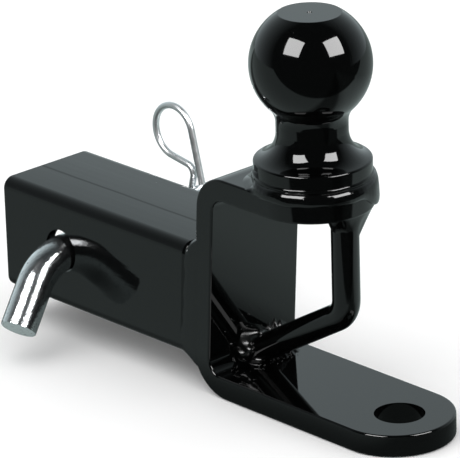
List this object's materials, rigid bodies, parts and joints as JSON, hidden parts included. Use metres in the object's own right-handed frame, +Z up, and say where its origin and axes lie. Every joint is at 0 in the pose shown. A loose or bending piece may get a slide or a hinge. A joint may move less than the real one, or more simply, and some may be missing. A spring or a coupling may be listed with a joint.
{
  "type": "trailer hitch with ball",
  "caption": "Square receiver shank welded to a C-bent plate bracket with a welded tow ball above, a braced drilled tongue below, and a cranked hitch pin held by a hairpin clip.",
  "frame": {"origin": "where the axis of the hitch pin crosses the axis of the square shank", "axes": "+X along the shank from its open end towards the ball and tongues, +Y towards the clip end of the pin, +Z up with the ball on top"},
  "size_m": [0.2396, 0.1333, 0.1715],
  "materials": {
    "black_paint": "gloss",
    "painted_weld": "gloss",
    "zinc_plate": "bright",
    "clip_wire": "bright"
  },
  "bodies": {
    "hitch": {"shank_tube": "black_paint", "tongue_bracket": "black_paint", "tow_ball": "black_paint", "brace_bar": "black_paint", "shank_weld": "painted_weld", "ball_weld": "painted_weld", "ball_plug_weld": "painted_weld", "brace_head_weld": "painted_weld", "brace_foot_weld": "painted_weld"},
    "pin": {"hitch_pin": "zinc_plate"},
    "clip": {"hairpin_clip": "clip_wire"}
  },
  "joints": [
    {"name": "pin_slide", "type": "slide", "parent": "hitch", "child": "pin", "axis": [0, -1, 0], "range_m": [0, 0.0325]},
    {"name": "clip_pull", "type": "slide", "parent": "pin", "child": "clip", "axis": [-0.2419, 0, 0.9703], "range_m": [0, 0.032]}
  ]
}
